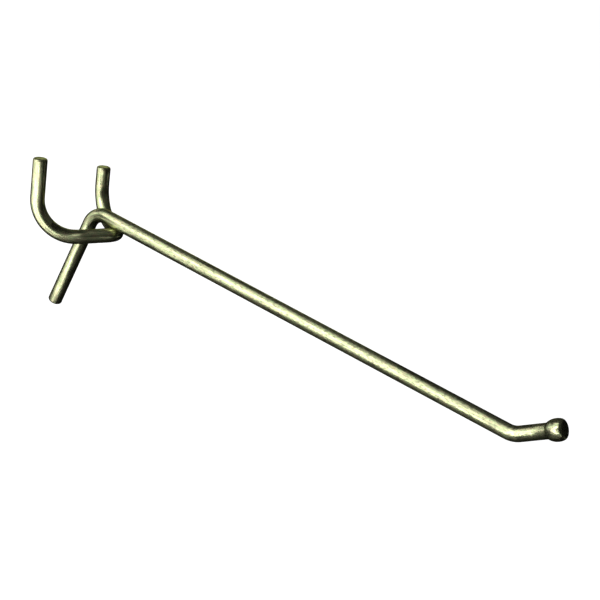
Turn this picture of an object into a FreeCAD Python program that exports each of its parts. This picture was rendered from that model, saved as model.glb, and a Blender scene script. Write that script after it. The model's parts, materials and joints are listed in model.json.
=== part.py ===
"""Pegboard hook: a ball-ended shank wire welded across a forked prong wire.

Frame: X to the right as the board is faced, Y into the board, Z up.
The origin is on the board's front face, midway between the two holes.
"""
import FreeCAD, Part
import math
import os

from FreeCAD import Vector

# Driving dimensions, in millimetres and degrees. Bends are given by their inside radius.
wire_d = 3.76               # drawn steel wire, both wires
hole_pitch = 25.4           # middle of one board hole to the next
end_round = 0.55            # rounding on the cut wire ends
weld_set = 0.25             # how far the shank is pressed into the fork at the weld

# Shank wire, from the foot of the brace to the ball.
brace_length = 26.5         # straight part of the brace, upright against the board
rear_bend = 3.07            # bend between brace and shank
weld_to_bend = 3.4          # from the weld back to where the rear bend starts
weld_to_front = 117.4       # from the weld forward to where the front bend starts
shank_rise = 13.0           # shank above level, in degrees
front_bend = 3.52           # bend at the front of the shank
tip_rise = 34.0             # tip above the line of the shank, in degrees
tip_length = 6.9            # from the front bend to the back of the ball

# Ball upset on the front end of the shank wire.
ball_stand = 0.77           # how far the ball stands out beyond the wire all round
ball_length = 4.2           # from the back of the ball to its flat front
ball_belly = 2.4            # from the back of the ball to where it is widest
ball_edge_round = 0.8       # rounding of the flat front's edge

# Prong wire, from its fork out to the two prong ends.
fork_bend = 0.92            # bend under the shank
fork_spread = 49.0          # each arm off the shank's line as it leaves the fork
arm_bend = 4.22             # bend that turns each arm towards its hole
root_spread = 28.0          # each arm off the shank's line as it enters the board
root_length = 0.3           # straight between the arm's bend and the prong's bend
arm_fall = 30.6             # fall of the arms towards the board
prong_bend = 7.22           # bend from arm to prong
prong_lean = 21.9           # prongs off upright, tops away from the board
left_prong_length = 10.3    # straight part of the left prong
right_prong_length = 4.6    # straight part of the right prong, which is cut shorter

wire_r = wire_d / 2
ball_r = wire_r + ball_stand
belly_r = (ball_belly ** 2 + ball_stand ** 2) / (2 * ball_stand)
weld_stand = wire_d - weld_set
right = Vector(1, 0, 0)
up = Vector(0, 0, 1)


def in_side_plane(degrees):
    """Direction in the upright middle plane: 0 runs forward, 90 runs up."""
    angle = math.radians(degrees)
    return Vector(0, -math.cos(angle), math.sin(angle))


def along_arm(side, spread):
    """Direction of an arm from the fork towards the board; side is -1 for left and 1 for right."""
    angle = math.radians(spread)
    fall = math.radians(arm_fall)
    back = math.cos(angle)
    return Vector(side * math.sin(angle), back * math.cos(fall), -back * math.sin(fall))


def corner_length(heading, new_heading, inside):
    """From the start of a bend to the corner where the two straights would meet."""
    return (inside + wire_r) * math.tan(heading.getAngle(new_heading) / 2)


class Bender:
    """Lays out a wire's middle line as a bending machine does, by straights and bends."""

    def __init__(self, start, heading):
        self.point = start
        self.heading = heading
        self.edges = []

    def straight(self, length):
        end = self.point + self.heading * length
        self.edges.append(Part.makeLine(self.point, end))
        self.point = end

    def bend(self, heading, inside):
        radius = inside + wire_r
        angle = self.heading.getAngle(heading)
        inward = (heading - self.heading * math.cos(angle)).normalize()
        halfway = self.on_arc(inward, radius, angle / 2)
        end = self.on_arc(inward, radius, angle)
        self.edges.append(Part.Arc(self.point, halfway, end).toShape())
        self.point = end
        self.heading = heading

    def on_arc(self, inward, radius, angle):
        forward = self.heading * (radius * math.sin(angle))
        return self.point + forward + inward * (radius * (1 - math.cos(angle)))


def drawn_wire(edges, start, heading):
    """Solid round wire along a middle line that starts at the given point and heading."""
    outline = Part.Wire(Part.makeCircle(wire_r, start, heading))
    path = Part.Wire(Part.__sortEdges__(edges))
    return path.makePipe(Part.Face(outline))


def rounded_ends(solid, ends):
    """Break the sharp edge of each cut end; ends are middle points of the cut faces."""
    rims = [edge for edge in solid.Edges for end in ends if is_rim(edge, end)]
    return solid.makeFillet(end_round, rims)


def is_rim(edge, end):
    """True for a circular edge around a cut end's middle."""
    return isinstance(edge.Curve, Part.Circle) and edge.Curve.Center.distanceToPoint(end) < end_round


def arm_length(side):
    """Straight part of an arm, as long as the prongs need to stand at the pitch of the holes."""
    leaves = along_arm(side, fork_spread)
    enters = along_arm(side, root_spread)
    prong = in_side_plane(90 + prong_lean)
    fork_corner = corner_length(right * side, leaves, fork_bend)
    arm_corner = corner_length(leaves, enters, arm_bend)
    prong_corner = corner_length(enters, prong, prong_bend)
    root = arm_corner + root_length + prong_corner
    sideways = hole_pitch / 2 - fork_corner - root * abs(enters.x)
    return sideways / abs(leaves.x) - fork_corner - arm_corner


def arm_and_prong(start, side, prong_length):
    """Middle line from the middle of the fork out to one prong's end."""
    line = Bender(start, right * side)
    line.bend(along_arm(side, fork_spread), fork_bend)
    line.straight(arm_length(side))
    line.bend(along_arm(side, root_spread), arm_bend)
    line.straight(root_length)
    line.bend(in_side_plane(90 + prong_lean), prong_bend)
    line.straight(prong_length)
    return line


def bend_corner():
    """From the weld back along the shank to the corner it makes with the brace."""
    return weld_to_bend + corner_length(up, in_side_plane(shank_rise), rear_bend)


def lowest_below_fork():
    """Fall from the fork to the lowest point of the prong bends' middle line."""
    line = Bender(Vector(), right)
    line.bend(along_arm(1, fork_spread), fork_bend)
    line.straight(arm_length(1))
    line.bend(along_arm(1, root_spread), arm_bend)
    line.straight(root_length)
    level = math.sqrt(1 - line.heading.z ** 2)
    return -line.point.z + (prong_bend + wire_r) * (1 - level)


def fork_point():
    """Middle of the fork, set by the brace on the board's face and the prong bends at the hole line."""
    weld_y = -wire_r + in_side_plane(shank_rise).y * bend_corner()
    across = in_side_plane(shank_rise + 90)
    return Vector(0, weld_y - across.y * weld_stand, lowest_below_fork())


def weld_point():
    """Point on the shank's middle line over the weld."""
    return fork_point() + in_side_plane(shank_rise + 90) * weld_stand


def prong_wire():
    """Forked wire: two arms that meet in a bend under the shank and turn up into two prongs."""
    left_arm = arm_and_prong(fork_point(), -1, left_prong_length)
    right_arm = arm_and_prong(fork_point(), 1, right_prong_length)
    solid = drawn_wire(left_arm.edges + right_arm.edges, left_arm.point, left_arm.heading)
    return rounded_ends(solid, [left_arm.point, right_arm.point])


def brace_foot():
    """Middle of the brace's cut end."""
    corner = weld_point() - in_side_plane(shank_rise) * bend_corner()
    return corner - up * (brace_length + corner_length(up, in_side_plane(shank_rise), rear_bend))


def shank_line():
    """Middle line of the shank wire from the foot of the brace to the back of the ball."""
    line = Bender(brace_foot(), up)
    line.straight(brace_length)
    line.bend(in_side_plane(shank_rise), rear_bend)
    line.straight(weld_to_bend + weld_to_front)
    line.bend(in_side_plane(shank_rise + tip_rise), front_bend)
    line.straight(tip_length)
    return line


def arc_about(middle, start, end):
    """Short arc from start to end about a middle point."""
    out = (start + end) * 0.5 - middle
    halfway = middle + out.normalize() * middle.distanceToPoint(start)
    return Part.Arc(start, halfway, end).toShape()


def ball(back, heading):
    """Upset ball, turned about the tip's own line: bellied side, rounded edge and a flat pressed front."""
    belly = Vector(ball_belly, ball_r - belly_r, 0)
    inner_r = belly_r - ball_edge_round
    edge_x = ball_length - ball_edge_round
    edge = Vector(edge_x, belly.y + math.sqrt(inner_r ** 2 - (edge_x - ball_belly) ** 2), 0)
    edge_start = belly + (edge - belly) * (belly_r / inner_r)
    edge_end = Vector(ball_length, edge.y, 0)
    neck = Vector(0, wire_r, 0)
    front = Vector(ball_length, 0, 0)
    outline = [
        Part.makeLine(Vector(), neck),
        arc_about(belly, neck, edge_start),
        arc_about(edge, edge_start, edge_end),
        Part.makeLine(edge_end, front),
        Part.makeLine(front, Vector()),
    ]
    body = Part.Face(Part.Wire(outline)).revolve(Vector(), right, 360)
    body.Placement = FreeCAD.Placement(back, FreeCAD.Rotation(right, heading))
    return body


def shank_wire():
    """Shank, brace and upturned tip bent from one wire, with a ball upset on the tip."""
    line = shank_line()
    solid = rounded_ends(drawn_wire(line.edges, brace_foot(), up), [brace_foot()])
    return solid.fuse(ball(line.point, line.heading)).removeSplitter()


def main():
    os.makedirs("parts", exist_ok=True)
    shank = shank_wire()
    prongs = prong_wire().cut(shank)
    shank.exportStep("parts/shank_wire.step")
    prongs.exportStep("parts/prong_wire.step")


main()
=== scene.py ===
"""Looks of a pegboard hook: a ball-ended shank wire and a forked prong wire, both yellow zinc plated."""
import json
import math
from typing import NamedTuple

import bmesh
import bpy
from bpy.props import FloatProperty, FloatVectorProperty, IntProperty, PointerProperty
from mathutils import Euler, Matrix, Vector


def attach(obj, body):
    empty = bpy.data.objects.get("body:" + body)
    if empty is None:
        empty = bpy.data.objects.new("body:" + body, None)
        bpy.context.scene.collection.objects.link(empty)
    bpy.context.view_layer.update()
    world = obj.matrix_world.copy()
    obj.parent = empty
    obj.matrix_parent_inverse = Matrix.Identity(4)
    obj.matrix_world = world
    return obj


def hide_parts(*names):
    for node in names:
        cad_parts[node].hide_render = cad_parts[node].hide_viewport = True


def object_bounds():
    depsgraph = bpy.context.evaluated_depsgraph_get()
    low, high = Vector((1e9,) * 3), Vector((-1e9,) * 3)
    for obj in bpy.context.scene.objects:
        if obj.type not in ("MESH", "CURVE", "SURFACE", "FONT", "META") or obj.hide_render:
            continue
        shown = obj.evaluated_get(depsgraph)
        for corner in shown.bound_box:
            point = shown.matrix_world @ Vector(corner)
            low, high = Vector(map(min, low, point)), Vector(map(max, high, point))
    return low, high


bl_info = {
    "name": "Pegboard Hook",
    "version": (1, 0, 0),
    "blender": (4, 5, 0),
    "location": "View3D > Sidebar > Hook",
    "description": "Bends, plates and lights a pegboard hook of two welded wires",
    "category": "Object",
}

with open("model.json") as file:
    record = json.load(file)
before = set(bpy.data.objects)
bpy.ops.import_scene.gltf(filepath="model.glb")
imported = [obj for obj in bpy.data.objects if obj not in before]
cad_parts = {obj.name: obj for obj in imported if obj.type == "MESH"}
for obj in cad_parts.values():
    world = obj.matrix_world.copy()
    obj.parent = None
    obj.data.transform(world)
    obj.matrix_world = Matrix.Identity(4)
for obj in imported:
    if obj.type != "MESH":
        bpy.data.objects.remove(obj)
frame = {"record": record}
cad_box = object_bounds()
mounts = {mount["name"]: mount for mount in frame["record"]["mounts"]}

RIGHT = Vector((1, 0, 0))
UP = Vector((0, 0, 1))
MM = 0.001
QUARTER = math.pi / 2
UNBENT = "unbent"           # vertex attribute: place on the wire before it was bent
SAME_PLACE = 1e-6           # vertices closer than this become one
ROUND = 0.5                 # profile of a bevel that is an arc
MATTE = 0.9                 # roughness of the floor and the cards
WHITE = (1, 1, 1, 1)
SENSOR_MM = 36              # width of the camera's sensor
NEAREST = 0.01              # nearest that the camera shows


class Grain(NamedTuple):
    """Noise on the unbent wire, and where a mark made from it starts to show and is full."""
    across: float           # cells to a metre across the wire
    along: float            # cells to a metre along the wire
    detail: float
    starts: float = 0
    full: float = 1


CLOUD = Grain(2600, 700, 3)
FINE_LINES = Grain(4200, 130, 3, 0.52, 0.28)
BROAD_LINES = Grain(1500, 60, 2, 0.48, 0.26)
SPECKLE = Grain(2600, 1000, 2, 0.50, 0.64)
PATCHES = Grain(500, 170, 4, 0.52, 0.68)
DENTS = Grain(1300, 1300, 2)

# Cloud noise at which each tinge of the plate is pure.
GREEN_AT = 0.36
CREAM_AT = 0.5
PINK_AT = 0.66

# Fine line noise at the bottom of a drawing line and at the top of the ridge beside it.
GROOVE = 0.25
RIDGE = 0.75


class Card(NamedTuple):
    """Dark card, level until it is tilted; it is shifted in its own plane, tilted, turned and placed."""
    name: str
    size: tuple
    place: tuple
    turn: float             # about the upright, in degrees
    tilt: float = 90        # from level, in degrees
    shift: tuple = (0, 0, 0)


CARDS = (
    # Under the hook and to its right, for the right sides of the prongs and the brace.
    Card("low_card", (2.4, 2.4), (-0.085, 0, -0.09), -5, tilt=0, shift=(1.2, 0, 0)),
    # Closer under the shank, for its underside.
    Card("near_card", (0.46, 0.4), (-0.03, -0.02, -0.032), -16.5, tilt=0, shift=(0.12, -0.2, 0)),
    # In front, for the sides of the prongs that face it.
    Card("front_card", (1.36, 0.8), (0.13, -0.70, 0.15), -33),
    # In front to the right, for the right edges of the prongs and the flat front of the ball.
    Card("right_card", (0.9, 0.8), (0.89, -0.45, 0.1), 63),
    # On the right of the tip, for its upper edge and the ball's.
    Card("tip_card", (0.05, 0.05), (0.025, -0.103, 0.036), 135),
    # On the left of the near arm, above it and in front of it, for the dark stretch next to the fork.
    Card("arm_card", (0.016, 0.018), (-0.019, -0.0125, -0.006), -54),
    Card("root_card", (0.0065, 0.009), (-0.010, -0.0015, 0.0055), 228, tilt=48),
    Card("fork_card", (0.014, 0.009), (-0.0125, -0.019, 0.0005), -30),
)
PANELS = ("key", "core", "low", "side", "fill")


def length(name, description, default):
    """Property for a length in metres."""
    return FloatProperty(name=name, description=description, default=default, unit="LENGTH", precision=5)


def angle(name, description, degrees):
    """Property for an angle, given in degrees."""
    return FloatProperty(name=name, description=description, default=math.radians(degrees), subtype="ANGLE")


def count(name, description, default):
    """Property for a number of steps or edges."""
    return IntProperty(name=name, description=description, default=default, min=1)


def colour(name, description, default):
    """Property for a colour, in linear values."""
    return FloatVectorProperty(name=name, description=description, default=default, subtype="COLOR",
                               size=3, min=0, max=1)


def power(name, description, default):
    """Property for the power of a lamp, in watts."""
    return FloatProperty(name=name, description=description, default=default, unit="POWER")


def extent(name, description, default):
    """Property for the width and height of a panel, in metres."""
    return FloatVectorProperty(name=name, description=description, default=default, size=2, unit="LENGTH")


def share(name, description, default):
    """Property for a share between 0 and 1."""
    return FloatProperty(name=name, description=description, default=default, subtype="FACTOR",
                         min=0, max=1)


class HookWireSettings(bpy.types.PropertyGroup):
    """Sizes that both wires share."""
    wire_d: length("Wire diameter", "Drawn steel wire", 2 * MM * mounts["left_prong"]["dims"]["r_mm"])
    end_round: length("End rounding", "Rounding on the cut wire ends", 0.00055)
    weld_set: length("Weld set", "How far the shank is pressed into the fork", 0.00025)
    sides: count("Sides", "Edges round the wire", 64)
    end_steps: count("End steps", "Edges across the rounding of a cut end", 6)
    bend_step: angle("Bend step", "Turn from one ring of edges to the next in a bend", 5)


class HookShankSettings(bpy.types.PropertyGroup):
    """Sizes of the shank wire, from the foot of its brace to the ball."""
    brace_length: length("Brace", "Straight part of the brace, upright against the board", 0.0265)
    brace_rings: count("Brace rings", "Rings of edges along the brace", 6)
    rear_bend: length("Rear bend", "Inside radius of the bend between brace and shank", 0.00307)
    weld_to_bend: length("Weld to rear bend", "From the weld back to the rear bend", 0.0034)
    weld_to_front: length("Weld to front bend", "From the weld forward to the front bend", 0.1174)
    shank_rings: count("Shank rings", "Rings of edges along the shank", 24)
    shank_rise: angle("Shank rise", "Shank above level", 13)
    front_bend: length("Front bend", "Inside radius of the bend at the front", 0.00352)
    tip_rise: angle("Tip rise", "Tip above the line of the shank", 34)
    tip_length: length("Tip", "From the front bend to the back of the ball", 0.0069)
    tip_rings: count("Tip rings", "Rings of edges along the tip", 2)
    ball_stand: length("Ball stand", "How far the ball stands out beyond the wire", 0.00077)
    ball_length: length("Ball length", "From the back of the ball to its flat front", 0.0042)
    ball_belly: length("Ball belly", "From the back of the ball to where it is widest", 0.0024)
    ball_edge: length("Ball edge", "Rounding of the flat front's edge", 0.0008)
    belly_steps: count("Belly steps", "Edges along the ball's bellied side", 20)
    edge_steps: count("Edge steps", "Edges across the rounding of the flat front", 8)


class HookProngSettings(bpy.types.PropertyGroup):
    """Sizes of the prong wire, from its fork out to the two prong ends."""
    hole_pitch: length("Hole pitch", "Middle of one board hole to the next",
                       MM * mounts["board_seat"]["dims"]["spacing_x_mm"])
    fork_bend: length("Fork bend", "Inside radius of the bend under the shank", 0.00092)
    fork_spread: angle("Fork spread", "Each arm off the shank's line as it leaves the fork", 49)
    arm_bend: length("Arm bend", "Inside radius of the bend that turns each arm to its hole", 0.00422)
    root_spread: angle("Root spread", "Each arm off the shank's line as it enters the board", 28)
    root_length: length("Root", "Straight between the arm's bend and the prong's bend", 0.0003)
    arm_fall: angle("Arm fall", "Fall of the arms towards the board", 30.6)
    prong_bend: length("Prong bend", "Inside radius of the bend from arm to prong", 0.00722)
    prong_lean: angle("Prong lean", "Prongs off upright, tops away from the board", 21.9)
    left_length: length("Left prong", "Straight part of the left prong", 0.0103)
    right_length: length("Right prong", "Straight part of the right prong", 0.0046)
    straight_rings: count("Straight rings", "Rings of edges along each arm and each prong", 2)


class HookPlateSettings(bpy.types.PropertyGroup):
    """Colours and grain of the yellow zinc plate."""
    cream: colour("Cream", "Clean plate", (0.74, 0.79, 0.44))
    green: colour("Green tinge", "Plate with a green tinge", (0.62, 0.76, 0.40))
    pink: colour("Pink tinge", "Plate with a pink tinge", (0.80, 0.72, 0.44))
    stain: colour("Stain", "Dull olive stain", (0.22, 0.22, 0.15))
    edge: colour("Edge tint", "Reflection at a glancing angle", (0.08, 0.08, 0.075))
    fine_streaks: share("Fine streaks", "Stain in the fine lines that the drawing die leaves", 0.6)
    broad_streaks: share("Broad streaks", "Stain in the broad lines that the drawing die leaves", 0.48)
    specks: share("Specks", "Stain in the speckle of the shank", 0.7)
    unworn: share("Unworn", "Speckle of the brace and the prongs against that of the shank", 0.35)
    dull: share("Dull patches", "Stain in the dull patches", 0.5)
    roughness: share("Roughness", "Roughness of the clean plate", 0.27)
    grooved: share("Grooved", "Roughness that the drawing lines add", 0.10)
    polished: share("Polished", "Roughness that the ridges between the lines take off", 0.06)
    rubbed: share("Rubbed", "Roughness that hung things add to the shank", 0.06)
    relief: share("Relief", "Strength of the grain's relief", 0.5)
    relief_depth: length("Relief depth", "Depth of the grain's relief", 0.00005)
    hammered: FloatProperty(name="Hammered", description="Dents of the upset end against plain grain",
                            default=5, min=0)
    fade: length("Fade", "Stretch of wire over which rubbing and dents set in", 0.004)


class HookStageSettings(bpy.types.PropertyGroup):
    """Floor, lights and camera."""
    floor_drop: length("Floor drop", "Floor below the lowest point of the hook", 0.2)
    floor_reach: length("Floor reach", "From the middle of the floor to the wall round it", 5)
    wall_height: length("Wall height", "Low pale wall round the floor", 0.6)
    wall_sides: count("Wall sides", "Edges round the floor", 64)
    floor_colour: colour("Floor", "Pale floor", (0.85, 0.85, 0.85))
    floor_glow: share("Floor glow", "Light that lifts the floor to white where it is seen", 0.98)
    room: colour("Room", "Dim light of the room", (0.04, 0.04, 0.04))
    key_power: power("Key power", "Soft panel on the left", 1.5)
    key_size: extent("Key size", "Width and height of the left panel", (0.56, 0.78))
    key_away: length("Key distance", "From the middle of the hook to the left panel", 0.6)
    key_round: angle("Key bearing", "Left panel, from the right towards the board", 136)
    key_rise: angle("Key rise", "Middle of the left panel above level", 28)
    core_power: power("Core power", "Brighter middle of the left panel", 0.7)
    core_size: extent("Core size", "Width and height of the brighter middle", (0.34, 0.28))
    core_away: length("Core distance", "From the middle of the hook to the brighter middle", 0.59)
    core_round: angle("Core bearing", "Brighter middle, from the right towards the board", 150)
    core_rise: angle("Core rise", "Brighter middle above level", 20)
    low_power: power("Low power", "Low soft panel on the near left", 0.8)
    low_size: extent("Low size", "Width and height of the low panel", (0.44, 0.26))
    low_away: length("Low distance", "From the middle of the hook to the low panel", 0.35)
    low_round: angle("Low bearing", "Low panel, from the right towards the board", 190)
    low_rise: angle("Low rise", "Middle of the low panel above level", -16)
    side_power: power("Side power", "Weak panel beside the low one, towards the front", 0.035)
    side_size: extent("Side size", "Width and height of the weak panel", (0.18, 0.12))
    side_away: length("Side distance", "From the middle of the hook to the weak panel", 0.35)
    side_round: angle("Side bearing", "Weak panel, from the right towards the board", 243)
    side_rise: angle("Side rise", "Middle of the weak panel above level", 0)
    fill_power: power("Fill power", "Soft panel on the right, behind the hook", 0.3)
    fill_size: extent("Fill size", "Width and height of the fill panel", (0.36, 0.2))
    fill_away: length("Fill distance", "From the middle of the hook to the fill panel", 0.7)
    fill_round: angle("Fill bearing", "Fill panel, from the right towards the board", 38)
    fill_rise: angle("Fill rise", "Middle of the fill panel above level", 2)
    card: colour("Dark card", "Matte cards that darken the far sides of the wires", (0.015, 0.015, 0.015))
    camera_place: FloatVectorProperty(name="Camera place", description="Where the camera stands", size=3,
                                      default=(-0.293003, -0.182830, 0.198172), subtype="TRANSLATION",
                                      unit="LENGTH")
    camera_turn: FloatVectorProperty(name="Camera turn", description="How the camera is turned", size=3,
                                     default=[math.radians(a) for a in (57.9467, -25.3541, -52.9398)],
                                     subtype="EULER", unit="ROTATION")
    lens: FloatProperty(name="Lens", description="Focal length of the camera", default=90, unit="CAMERA")


class HookSettings(bpy.types.PropertyGroup):
    """All that can be set on the hook and its stage."""
    wire: PointerProperty(type=HookWireSettings)
    shank: PointerProperty(type=HookShankSettings)
    prongs: PointerProperty(type=HookProngSettings)
    plate: PointerProperty(type=HookPlateSettings)
    stage: PointerProperty(type=HookStageSettings)


def in_side_plane(rise):
    """Direction in the upright middle plane: 0 runs forward and a quarter turn runs up."""
    return Vector((0, -math.cos(rise), math.sin(rise)))


def along_arm(side, spread, fall):
    """Direction of an arm from the fork towards the board; side is -1 for left and 1 for right."""
    back = math.cos(spread)
    return Vector((side * math.sin(spread), back * math.cos(fall), -back * math.sin(fall)))


def corner_length(heading, new_heading, radius):
    """From the start of a bend to the corner where the two straights would meet."""
    return radius * math.tan(heading.angle(new_heading) / 2)


def prong_turn(prongs):
    """Direction of a prong, up and away from the board."""
    return in_side_plane(QUARTER + prongs.prong_lean)


def arm_length(prongs, wire_r):
    """Straight part of an arm, as long as the prongs need to stand at the pitch of the holes."""
    leaves = along_arm(1, prongs.fork_spread, prongs.arm_fall)
    enters = along_arm(1, prongs.root_spread, prongs.arm_fall)
    fork_corner = corner_length(RIGHT, leaves, prongs.fork_bend + wire_r)
    arm_corner = corner_length(leaves, enters, prongs.arm_bend + wire_r)
    prong_corner = corner_length(enters, prong_turn(prongs), prongs.prong_bend + wire_r)
    root = arm_corner + prongs.root_length + prong_corner
    sideways = prongs.hole_pitch / 2 - fork_corner - root * enters.x
    return sideways / leaves.x - fork_corner - arm_corner


def fork_height(prongs, wire_r):
    """Height of the fork above the lowest point of the prong bends' middle line."""
    leaves = along_arm(1, prongs.fork_spread, prongs.arm_fall)
    enters = along_arm(1, prongs.root_spread, prongs.arm_fall)
    fork_corner = corner_length(RIGHT, leaves, prongs.fork_bend + wire_r)
    arm_corner = corner_length(leaves, enters, prongs.arm_bend + wire_r)
    fall = leaves.z * (fork_corner + arm_length(prongs, wire_r) + arm_corner)
    fall += enters.z * (arm_corner + prongs.root_length)
    level = math.sqrt(1 - enters.z ** 2)
    return -fall + (prongs.prong_bend + wire_r) * (1 - level)


def rear_corner(shank, wire_r):
    """From the rear bend's start to the corner that the shank makes with the brace."""
    return corner_length(UP, in_side_plane(shank.shank_rise), shank.rear_bend + wire_r)


def fork_point(settings):
    """Middle of the fork, set by the brace on the board's face and the prong bends at the hole line."""
    wire_r = settings.wire.wire_d / 2
    shank = settings.shank
    reach = shank.weld_to_bend + rear_corner(shank, wire_r)
    weld_y = -wire_r + in_side_plane(shank.shank_rise).y * reach
    fork_y = weld_y - in_side_plane(shank.shank_rise + QUARTER).y * weld_stand(settings)
    return Vector((0, fork_y, fork_height(settings.prongs, wire_r)))


def weld_stand(settings):
    """From the fork's middle line to the shank's middle line."""
    return settings.wire.wire_d - settings.wire.weld_set


def brace_foot(settings):
    """Middle of the brace's cut end."""
    shank = settings.shank
    corner = rear_corner(shank, settings.wire.wire_d / 2)
    weld = fork_point(settings) + in_side_plane(shank.shank_rise + QUARTER) * weld_stand(settings)
    meets = weld - in_side_plane(shank.shank_rise) * (shank.weld_to_bend + corner)
    return meets - UP * (shank.brace_length + corner)


class WireBender:
    """Makes a wire as a bending machine does: straights are extruded from a ring and bends are spun.

    Each vertex keeps its place on the wire before it was bent, for the grain of the plate."""

    def __init__(self, start, heading, wire):
        self.wire = wire
        self.radius = wire.wire_d / 2
        self.point = start.copy()
        self.heading = heading.copy()
        self.along = 0.0
        self.bm = bmesh.new()
        self.unbent = self.bm.verts.layers.float_vector.new(UNBENT)
        ring = bmesh.ops.create_circle(self.bm, segments=wire.sides, radius=self.radius)["verts"]
        for vert in ring:
            vert[self.unbent] = vert.co
        turn = UP.rotation_difference(heading).to_matrix().to_4x4()
        bmesh.ops.transform(self.bm, matrix=Matrix.Translation(start) @ turn, verts=ring)
        self.side = (ring[0].co - start).normalized()
        self.ring = list(self.bm.edges)

    def take(self, geom):
        """Goes on from the newest ring."""
        verts = {part for part in geom if isinstance(part, bmesh.types.BMVert)}
        edges = [part for part in geom if isinstance(part, bmesh.types.BMEdge)]
        self.ring = [edge for edge in edges if verts.issuperset(edge.verts)]
        for vert in verts:
            place = vert[self.unbent]
            vert[self.unbent] = (place.x, place.y, self.along)

    def straight(self, distance, rings=1):
        """Runs on straight, with rings of edges along the way."""
        for _ in range(rings):
            geom = bmesh.ops.extrude_edge_only(self.bm, edges=self.ring)["geom"]
            verts = [part for part in geom if isinstance(part, bmesh.types.BMVert)]
            move = self.heading * (distance / rings)
            bmesh.ops.translate(self.bm, vec=move, verts=verts)
            self.point += move
            self.along += distance / rings
            self.take(geom)

    def bend(self, heading, inside):
        """Turns to a new heading about an inside radius."""
        radius = inside + self.radius
        turn = self.heading.angle(heading)
        axis = self.heading.cross(heading).normalized()
        middle = self.point + axis.cross(self.heading) * radius
        steps = math.ceil(turn / self.wire.bend_step)
        rotation = Matrix.Rotation(turn / steps, 3, axis)
        for _ in range(steps):
            geom = bmesh.ops.spin(self.bm, geom=self.ring, cent=middle, axis=axis, angle=turn / steps,
                                  steps=1, use_merge=False)["geom_last"]
            self.point = middle + rotation @ (self.point - middle)
            self.heading = (rotation @ self.heading).normalized()
            self.side = rotation @ self.side
            self.along += radius * turn / steps
            self.take(geom)

    def cut(self, ring):
        """Closes a cut end and rounds its edge."""
        bmesh.ops.edgeloop_fill(self.bm, edges=ring)
        bmesh.ops.bevel(self.bm, geom=ring, offset=self.wire.end_round, affect="EDGES",
                        segments=self.wire.end_steps, profile=ROUND, material=-1)

    def beside(self, ahead, out):
        """Point ahead of the wire's end and out from its middle line."""
        return self.point + self.heading * ahead + self.side * out

    def turned_end(self, outline_of):
        """Turns an end about the wire's own line from an outline that starts on the ring."""
        before = set(self.bm.verts)
        start = self.bm.verts.new(self.point + self.side * self.radius)
        outline = outline_of(self, start)
        bmesh.ops.spin(self.bm, geom=outline, cent=self.point, axis=self.heading, angle=math.tau,
                       steps=self.wire.sides, use_merge=True)
        across = self.heading.cross(self.side)
        for vert in set(self.bm.verts) - before:
            out = vert.co - self.point
            ahead = self.along + out.dot(self.heading)
            vert[self.unbent] = (out.dot(self.side), out.dot(across), ahead)

    def arc(self, start, middle, turn, steps):
        """Spins a vertex of an outline about a middle point; gives the arc and its last vertex."""
        before = set(self.bm.verts)
        geom = bmesh.ops.spin(self.bm, geom=[start], cent=middle, axis=self.heading.cross(self.side),
                              angle=turn, steps=steps, use_merge=False)["geom_last"]
        last = next(part for part in geom if isinstance(part, bmesh.types.BMVert))
        made = set(self.bm.verts) - before
        return [start, *made, *{edge for vert in made for edge in vert.link_edges}], last


def ball_outline(shank):
    """Outline of the ball upset on the tip: bellied side, rounded edge and a flat pressed front."""
    def outline(bender, start):
        belly_r = (shank.ball_belly ** 2 + shank.ball_stand ** 2) / (2 * shank.ball_stand)
        inner_r = belly_r - shank.ball_edge
        edge_away = shank.ball_length - shank.ball_edge - shank.ball_belly
        neck_turn = math.asin(shank.ball_belly / belly_r)
        belly_turn = math.asin(edge_away / inner_r)
        belly_out = bender.radius + shank.ball_stand - belly_r
        edge_out = belly_out + inner_r * math.cos(belly_turn)
        belly = bender.beside(shank.ball_belly, belly_out)
        edge_middle = bender.beside(shank.ball_belly + edge_away, edge_out)
        body, last = bender.arc(start, belly, -neck_turn - belly_turn, shank.belly_steps)
        edge, last = bender.arc(last, edge_middle, belly_turn - QUARTER, shank.edge_steps)
        front = bmesh.ops.extrude_vert_indiv(bender.bm, verts=[last])
        bmesh.ops.translate(bender.bm, vec=bender.side * -edge_out, verts=front["verts"])
        return list(dict.fromkeys(body + edge + front["verts"] + front["edges"]))
    return outline


def put_in_order(parts, place_of):
    """Sorts a mesh's vertices or faces by their places, so that each run gives the same mesh."""
    for index, part in enumerate(sorted(parts, key=place_of)):
        part.index = index
    parts.sort()


def finish_piece(bm, name, node, material):
    """Closes the mesh and puts it in the place of its CAD node."""
    bmesh.ops.remove_doubles(bm, verts=bm.verts, dist=SAME_PLACE)
    bmesh.ops.recalc_face_normals(bm, faces=bm.faces)
    put_in_order(bm.verts, lambda vert: tuple(vert.co))
    put_in_order(bm.faces, lambda face: tuple(face.calc_center_median()))
    for face in bm.faces:
        face.smooth = True
    mesh = bpy.data.meshes.new(name)
    bm.to_mesh(mesh)
    bm.free()
    mesh.materials.append(material)
    piece = bpy.data.objects.new(name, mesh)
    bpy.context.scene.collection.objects.link(piece)
    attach(piece, "root")
    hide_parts(node)


def add_node(tree, kind, inputs=(), **settings):
    """Adds a node with its settings, and its inputs as values or links."""
    node = tree.nodes.new(kind)
    for name, value in settings.items():
        setattr(node, name, value)
    for name, value in dict(inputs).items():
        if isinstance(value, bpy.types.NodeSocket):
            tree.links.new(value, node.inputs[name])
        else:
            node.inputs[name].default_value = value
    return node


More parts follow.
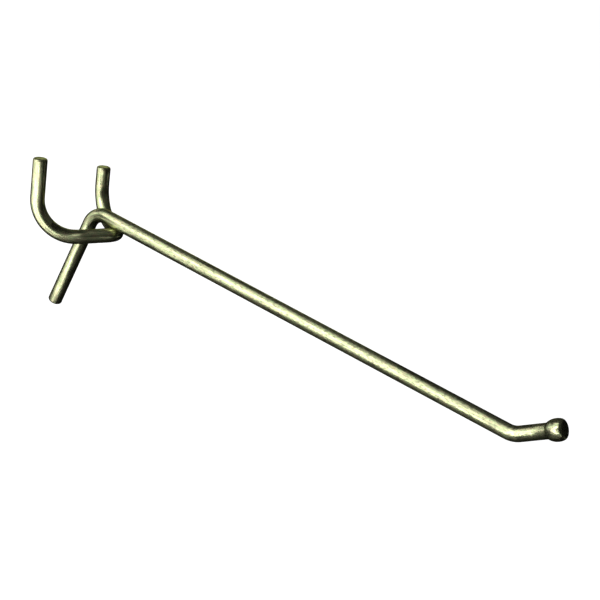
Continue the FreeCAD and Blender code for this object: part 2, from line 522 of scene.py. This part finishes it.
def noise(tree, place, grain):
    """Noise of a grain at a place on the unbent wire."""
    scale = (grain.across, grain.across, grain.along)
    scaled = add_node(tree, "ShaderNodeMapping", {"Vector": place, "Scale": scale}).outputs[0]
    inputs = {"Vector": scaled, "Scale": 1.0, "Detail": grain.detail}
    return add_node(tree, "ShaderNodeTexNoise", inputs).outputs["Fac"]


def ranged(tree, value, low, high, to_low, to_high):
    """Value moved from one range to another and kept inside it."""
    inputs = {"Value": value, "From Min": low, "From Max": high, "To Min": to_low, "To Max": to_high}
    return add_node(tree, "ShaderNodeMapRange", inputs).outputs[0]


def maths(tree, operation, first, second):
    """Result of an operation on two values."""
    return add_node(tree, "ShaderNodeMath", {0: first, 1: second}, operation=operation).outputs[0]


def mixed(tree, factor, first, second):
    """Mix of two colours, which are the node's sockets 6 and 7 going in and 2 coming out."""
    made = add_node(tree, "ShaderNodeMix", {0: factor, 6: first, 7: second}, data_type="RGBA")
    return made.outputs[2]


def tinged(tree, cloud, plate):
    """Clean plate with clouds of its green and pink tinges."""
    tinge = add_node(tree, "ShaderNodeValToRGB", {"Fac": cloud})
    first, last = tinge.color_ramp.elements
    first.position, last.position = GREEN_AT, PINK_AT
    first.color = (*plate.green, 1)
    last.color = (*plate.pink, 1)
    tinge.color_ramp.elements.new(CREAM_AT).color = (*plate.cream, 1)
    return tinge.outputs["Color"]


def plated_wire(plate, rubbed_from, rubbed_to, upset_at):
    """Drawn steel wire under yellow zinc: tinges, drawing lines, speckle and dull patches.

    Hung things rub it between two lengths along the wire, and it is dented from where it is upset."""
    material = bpy.data.materials.new("plated_wire")
    material.use_nodes = True
    tree = material.node_tree
    shader = tree.nodes["Principled BSDF"]
    place = add_node(tree, "ShaderNodeAttribute", attribute_name=UNBENT).outputs["Vector"]
    along = add_node(tree, "ShaderNodeSeparateXYZ", {"Vector": place}).outputs["Z"]
    fine_lines = noise(tree, place, FINE_LINES)
    speckle = noise(tree, place, SPECKLE)

    def setting_in(start, before, after):
        """Value that changes over the fade from a length along the wire."""
        return ranged(tree, along, start, start + plate.fade, before, after)

    def marks(value, grain, full):
        """Share of a mark, from none where its grain starts to show."""
        return ranged(tree, value, grain.starts, grain.full, 0.0, full)

    specks = marks(speckle, SPECKLE, plate.specks)
    stains = (
        marks(fine_lines, FINE_LINES, plate.fine_streaks),
        marks(noise(tree, place, BROAD_LINES), BROAD_LINES, plate.broad_streaks),
        maths(tree, "MULTIPLY", specks, setting_in(rubbed_from, plate.unworn, 1.0)),
        marks(noise(tree, place, PATCHES), PATCHES, plate.dull),
    )
    face = tinged(tree, noise(tree, place, CLOUD), plate)
    for stained in stains:
        face = mixed(tree, stained, face, (*plate.stain, 1))
    tree.links.new(face, shader.inputs["Base Color"])

    grooved = plate.roughness + plate.grooved
    polished = plate.roughness - plate.polished
    rough = ranged(tree, fine_lines, GROOVE, RIDGE, grooved, polished)
    rough = maths(tree, "ADD", rough, setting_in(rubbed_from, 0.0, plate.rubbed))
    rough = maths(tree, "ADD", rough, setting_in(rubbed_to, 0.0, -plate.rubbed))
    tree.links.new(rough, shader.inputs["Roughness"])

    dents = maths(tree, "MULTIPLY", noise(tree, place, DENTS), setting_in(upset_at, 0.0, plate.hammered))
    height = maths(tree, "ADD", maths(tree, "ADD", fine_lines, speckle), dents)
    relief = {"Height": height, "Strength": plate.relief, "Distance": plate.relief_depth}
    bump = add_node(tree, "ShaderNodeBump", relief)
    tree.links.new(bump.outputs[0], shader.inputs["Normal"])
    shader.inputs["Metallic"].default_value = 1.0
    shader.inputs["Specular Tint"].default_value = (*plate.edge, 1)
    return material


class HOOK_OT_shank_wire(bpy.types.Operator):
    """Bend the shank wire from its brace to its tip and upset the ball"""
    bl_idname = "hook.shank_wire"
    bl_label = "Bend Shank Wire"

    def execute(self, context):
        settings = context.scene.pegboard_hook
        shank = settings.shank
        bender = WireBender(brace_foot(settings), UP, settings.wire)
        foot = list(bender.ring)
        bender.straight(shank.brace_length, shank.brace_rings)
        bender.bend(in_side_plane(shank.shank_rise), shank.rear_bend)
        rubbed_from = bender.along
        bender.straight(shank.weld_to_bend + shank.weld_to_front, shank.shank_rings)
        rubbed_to = bender.along
        bender.bend(in_side_plane(shank.shank_rise + shank.tip_rise), shank.front_bend)
        bender.straight(shank.tip_length, shank.tip_rings)
        bender.cut(foot)
        bender.turned_end(ball_outline(shank))
        plated = plated_wire(settings.plate, rubbed_from, rubbed_to, bender.along)
        finish_piece(bender.bm, "shank_wire_plated", "shank_wire", plated)
        return {"FINISHED"}


class HOOK_OT_prong_wire(bpy.types.Operator):
    """Bend the prong wire from the left prong through the fork to the right prong"""
    bl_idname = "hook.prong_wire"
    bl_label = "Bend Prong Wire"

    def execute(self, context):
        settings = context.scene.pegboard_hook
        prongs = settings.prongs
        arm = arm_length(prongs, settings.wire.wire_d / 2)
        rings = prongs.straight_rings
        leaves = along_arm(1, prongs.fork_spread, prongs.arm_fall)
        enters = along_arm(1, prongs.root_spread, prongs.arm_fall)
        rises = prong_turn(prongs)
        bender = WireBender(Vector(), -rises, settings.wire)
        left_cut = list(bender.ring)
        bender.straight(prongs.left_length, rings)
        bender.bend(-along_arm(-1, prongs.root_spread, prongs.arm_fall), prongs.prong_bend)
        bender.straight(prongs.root_length)
        bender.bend(-along_arm(-1, prongs.fork_spread, prongs.arm_fall), prongs.arm_bend)
        bender.straight(arm, rings)
        bender.bend(RIGHT, prongs.fork_bend)
        fork = bender.point.copy()
        bender.bend(leaves, prongs.fork_bend)
        bender.straight(arm, rings)
        bender.bend(enters, prongs.arm_bend)
        bender.straight(prongs.root_length)
        bender.bend(rises, prongs.prong_bend)
        bender.straight(prongs.right_length, rings)
        bender.cut(left_cut)
        bender.cut(bender.ring)
        bmesh.ops.translate(bender.bm, vec=fork_point(settings) - fork, verts=bender.bm.verts)
        # Nothing hangs on this wire and neither end is upset, so rubbing and dents start past its end.
        plated = plated_wire(settings.plate, bender.along, bender.along, bender.along)
        finish_piece(bender.bm, "prong_wire_plated", "prong_wire", plated)
        return {"FINISHED"}


class HOOK_OT_stage(bpy.types.Operator):
    """Set up the floor, the lights and the camera"""
    bl_idname = "hook.stage"
    bl_label = "Set Stage"

    def execute(self, context):
        stage = context.scene.pegboard_hook.stage
        add_floor(context.scene, stage)
        for name in PANELS:
            add_panel(context.scene, name, stage)
        for card in CARDS:
            add_card(context.scene, card, stage)
        light_room(context.scene, stage)
        add_camera(context.scene, stage)
        context.scene.view_settings.view_transform = "Standard"
        return {"FINISHED"}


def seen_rays(tree):
    """1 for rays that show the background, straight or in gloss or glass, and 0 for the others."""
    path = add_node(tree, "ShaderNodeLightPath")
    seen = path.outputs["Is Camera Ray"]
    for name in ("Is Glossy Ray", "Is Transmission Ray"):
        seen = maths(tree, "MAXIMUM", seen, path.outputs[name])
    return seen


def stage_object(scene, name, bm, paint):
    """Matte object of the stage from a finished bmesh; gives the object and its shader's tree."""
    mesh = bpy.data.meshes.new(name)
    bm.to_mesh(mesh)
    bm.free()
    made = bpy.data.objects.new(name, mesh)
    scene.collection.objects.link(made)
    material = bpy.data.materials.new(name)
    material.use_nodes = True
    shader = material.node_tree.nodes["Principled BSDF"]
    shader.inputs["Base Color"].default_value = (*paint, 1)
    shader.inputs["Roughness"].default_value = MATTE
    shader.inputs["Specular IOR Level"].default_value = 0.0
    mesh.materials.append(material)
    return made, material.node_tree


def add_floor(scene, stage):
    """Plain pale floor under the hook, with a low wall round it."""
    bm = bmesh.new()
    bmesh.ops.create_circle(bm, cap_ends=True, segments=stage.wall_sides, radius=stage.floor_reach)
    wall = bmesh.ops.extrude_edge_only(bm, edges=bm.edges)["geom"]
    top = [part for part in wall if isinstance(part, bmesh.types.BMVert)]
    bmesh.ops.translate(bm, vec=(0, 0, stage.wall_height), verts=top)
    bmesh.ops.translate(bm, vec=(0, 0, cad_box[0].z - stage.floor_drop), verts=bm.verts)
    tree = stage_object(scene, "floor", bm, stage.floor_colour)[1]
    shader = tree.nodes["Principled BSDF"]
    shader.inputs["Emission Color"].default_value = WHITE
    glow = maths(tree, "MULTIPLY", seen_rays(tree), stage.floor_glow)
    tree.links.new(glow, shader.inputs["Emission Strength"])


def add_card(scene, card, stage):
    """Dark matte card that only the gloss of the wires shows."""
    turn = Matrix.Rotation(math.radians(card.turn), 4, "Z")
    tilt = Matrix.Rotation(math.radians(card.tilt), 4, "X")
    place = Matrix.Translation(card.place) @ turn @ tilt @ Matrix.Translation(card.shift)
    bm = bmesh.new()
    bmesh.ops.create_grid(bm, x_segments=1, y_segments=1, size=1 / 2)
    bmesh.ops.scale(bm, vec=(*card.size, 1), verts=bm.verts)
    bmesh.ops.transform(bm, matrix=place, verts=bm.verts)
    made = stage_object(scene, card.name, bm, stage.card)[0]
    made.visible_camera = False
    made.visible_diffuse = False
    made.visible_shadow = False


def add_panel(scene, name, stage):
    """Soft panel that faces the hook from its own bearing and rise."""
    lamp = bpy.data.lights.new(name + "_panel", "AREA")
    lamp.shape = "RECTANGLE"
    lamp.size, lamp.size_y = getattr(stage, name + "_size")
    lamp.energy = getattr(stage, name + "_power")
    panel = bpy.data.objects.new(lamp.name, lamp)
    panel.visible_camera = False
    scene.collection.objects.link(panel)
    bearing = getattr(stage, name + "_round")
    rise = getattr(stage, name + "_rise")
    level = math.cos(rise)
    towards = Vector((level * math.cos(bearing), level * math.sin(bearing), math.sin(rise)))
    panel.location = (cad_box[0] + cad_box[1]) / 2 + towards * getattr(stage, name + "_away")
    panel.rotation_euler = towards.to_track_quat("Z", "Y").to_euler()


def light_room(scene, stage):
    """Even dim light from all round."""
    world = bpy.data.worlds.new("room")
    world.use_nodes = True
    world.node_tree.nodes["Background"].inputs["Color"].default_value = (*stage.room, 1)
    scene.world = world


def add_camera(scene, stage):
    """Camera at the photograph's angle."""
    lens = bpy.data.cameras.new("camera")
    lens.lens = stage.lens
    lens.sensor_width = SENSOR_MM
    lens.clip_start = NEAREST
    camera = bpy.data.objects.new("camera", lens)
    camera.location = stage.camera_place
    camera.rotation_euler = Euler(stage.camera_turn)
    scene.collection.objects.link(camera)
    scene.camera = camera


class HOOK_PT_panel(bpy.types.Panel):
    """Sizes, colours and steps of the pegboard hook"""
    bl_idname = "HOOK_PT_panel"
    bl_label = "Pegboard Hook"
    bl_space_type = "VIEW_3D"
    bl_region_type = "UI"
    bl_category = "Hook"

    def draw(self, context):
        settings = context.scene.pegboard_hook
        for operator, groups in STEPS:
            box = self.layout.box()
            for group in groups:
                values = getattr(settings, group)
                for name in values.bl_rna.properties.keys():
                    if name not in {"rna_type", "name"}:
                        box.prop(values, name)
            box.operator(operator.bl_idname)


STEPS = (
    (HOOK_OT_shank_wire, ("wire", "shank", "plate")),
    (HOOK_OT_prong_wire, ("prongs",)),
    (HOOK_OT_stage, ("stage",)),
)
CLASSES = (
    HookWireSettings, HookShankSettings, HookProngSettings, HookPlateSettings, HookStageSettings,
    HookSettings, HOOK_OT_shank_wire, HOOK_OT_prong_wire, HOOK_OT_stage, HOOK_PT_panel,
)


def register():
    for cls in CLASSES:
        bpy.utils.register_class(cls)
    bpy.types.Scene.pegboard_hook = PointerProperty(type=HookSettings)


def unregister():
    del bpy.types.Scene.pegboard_hook
    for cls in reversed(CLASSES):
        bpy.utils.unregister_class(cls)


def main():
    register()
    bpy.ops.hook.shank_wire()
    bpy.ops.hook.prong_wire()
    bpy.ops.hook.stage()


if __name__ == "__main__":
    main()
